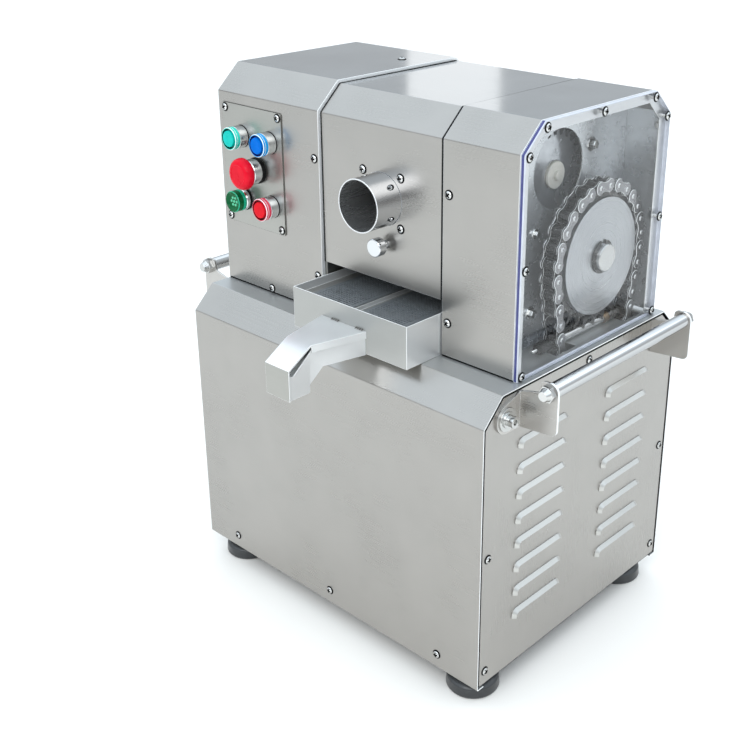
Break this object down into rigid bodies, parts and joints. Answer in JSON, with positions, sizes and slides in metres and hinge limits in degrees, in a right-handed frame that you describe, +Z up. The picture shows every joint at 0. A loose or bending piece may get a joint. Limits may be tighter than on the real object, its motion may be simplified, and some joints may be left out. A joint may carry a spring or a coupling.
{
  "type": "sugarcane juicer",
  "caption": "Desktop sugarcane juicer in folded stainless sheet, with geared rollers, a chain drive behind a clear side window, a feed tube, a juice tray with spout, and push buttons.",
  "frame": {"origin": "floor level under the middle of the machine's whole length and width", "axes": "+Z up, +Y from the feed tube's side to the back, +X towards the chain case"},
  "size_m": [0.604, 0.485, 0.697],
  "materials": {
    "stainless_panel": "brushed stainless sheet, warm grey",
    "polished_sheet": "bright polished stainless sheet",
    "polished_tube": "bright polished stainless tube",
    "chrome": "bright chrome plate",
    "bright_screw": "bright steel fasteners",
    "frame_steel": "grey painted steel",
    "turned_steel": "turned steel",
    "roller_steel": "turned stainless steel",
    "gear_steel": "machined gear steel",
    "chain_plate": "bright chain plates",
    "chain_inner": "dark chain plates and rollers",
    "bronze": "bronze bushes",
    "motor_paint": "grey blue motor paint",
    "rubber": "black rubber",
    "acrylic": "clear acrylic with a faint blue edge",
    "black_plastic": "black moulded plastic",
    "nylon": "cream nylon",
    "green_cap": "green button cap",
    "blue_cap": "blue button cap",
    "red_cap": "red button cap",
    "dark_lens": "dark green lens"
  },
  "bodies": {
    "machine": {"cabinet_wrap": "stainless_panel", "right_side_panel": "stainless_panel", "left_side_panel": "stainless_panel", "base_plate": "frame_steel", "frame_tubes": "frame_steel", "rubber_feet": "rubber", "foot_bolts": "bright_screw", "cabinet_screws": "bright_screw", "cable_gland": "black_plastic", "handle_brackets": "polished_sheet", "handle_tubes": "polished_tube", "handle_fasteners": "bright_screw", "control_housing": "stainless_panel", "roller_housing": "stainless_panel", "chain_housing": "stainless_panel", "window_pane": "acrylic", "window_screws": "bright_screw", "partition_wall": "polished_sheet", "bearing_plates": "turned_steel", "bearing_bushes": "bronze", "tie_rods": "turned_steel", "turner_bar": "turned_steel", "bagasse_chute": "stainless_panel", "chain_inner_links": "chain_inner", "chain_outer_links": "chain_plate", "gearbox": "motor_paint", "motor": "motor_paint", "motor_shelf": "frame_steel", "feed_tube": "polished_sheet", "cover_screws": "bright_screw", "thumb_nut": "bright_screw", "button_plate": "stainless_panel", "button_bezels": "chrome", "switch_gear": "black_plastic", "pilot_lens": "dark_lens"},
    "main_roller_set": {"main_shaft": "turned_steel", "main_roller": "roller_steel", "main_gear": "gear_steel", "main_sprocket": "turned_steel", "retaining_ring": "turned_steel"},
    "top_roller_set": {"top_shaft": "turned_steel", "top_roller": "roller_steel", "top_gear": "gear_steel", "top_washer": "nylon"},
    "feed_roller_set": {"feed_shaft": "turned_steel", "feed_roller": "roller_steel", "feed_gear": "gear_steel"},
    "drive_set": {"output_shaft": "turned_steel", "drive_sprocket": "gear_steel"},
    "green_push": {"green_button": "green_cap"},
    "blue_push": {"blue_button": "blue_cap"},
    "red_push": {"red_button": "red_cap"},
    "stop_plunger": {"stop_stem": "black_plastic"},
    "stop_mushroom": {"stop_head": "red_cap"},
    "tray_set": {"juice_tray": "stainless_panel", "strainer_screens": "polished_sheet", "spout": "stainless_panel", "spout_cover": "stainless_panel"},
    "tube_clamp": {"thumb_screw": "chrome"}
  },
  "joints": [
    {"name": "main_roller_spin", "type": "hinge", "parent": "machine", "child": "main_roller_set", "pos_m": [0.03755, 0.0975, 0.503], "axis": [1, 0, 0], "continuous": true, "deforming": ["chain_inner_links", "chain_outer_links"]},
    {"name": "top_roller_spin", "type": "hinge", "parent": "machine", "child": "top_roller_set", "pos_m": [0.03755, 0.07427, 0.59615], "axis": [1, 0, 0], "continuous": true},
    {"name": "feed_roller_spin", "type": "hinge", "parent": "machine", "child": "feed_roller_set", "pos_m": [0.03755, 0.01771, 0.53958], "axis": [1, 0, 0], "continuous": true},
    {"name": "drive_spin", "type": "hinge", "parent": "machine", "child": "drive_set", "pos_m": [0.214, 0.0975, 0.27736], "axis": [1, 0, 0], "continuous": true},
    {"name": "green_press", "type": "slide", "parent": "machine", "child": "green_push", "axis": [0, 1, 0], "range_m": [0, 0.003], "stiffness_N_per_m": 600},
    {"name": "blue_press", "type": "slide", "parent": "machine", "child": "blue_push", "axis": [0, 1, 0], "range_m": [0, 0.003], "stiffness_N_per_m": 600},
    {"name": "red_press", "type": "slide", "parent": "machine", "child": "red_push", "axis": [0, 1, 0], "range_m": [0, 0.003], "stiffness_N_per_m": 600},
    {"name": "stop_press", "type": "slide", "parent": "machine", "child": "stop_plunger", "axis": [0, 1, 0], "range_m": [0, 0.005]},
    {"name": "stop_twist", "type": "hinge", "parent": "stop_plunger", "child": "stop_mushroom", "pos_m": [-0.177, -0.0843, 0.5695], "axis": [0, -1, 0], "range_deg": [-45, 0]},
    {"name": "tray_slide", "type": "slide", "parent": "machine", "child": "tray_set", "axis": [0, -1, 0], "range_m": [0, 0.2]},
    {"name": "thumb_screw_turn", "type": "hinge", "parent": "machine", "child": "tube_clamp", "pos_m": [0.043, -0.0803, 0.52], "axis": [0, -1, 0], "range_deg": [-720, 0]}
  ],
  "couplings": [
    {"joint": "top_roller_spin", "follows": "main_roller_spin", "ratio": -0.84615},
    {"joint": "feed_roller_spin", "follows": "main_roller_spin", "ratio": 1.5714},
    {"joint": "drive_spin", "follows": "main_roller_spin", "ratio": 1.75}
  ]
}
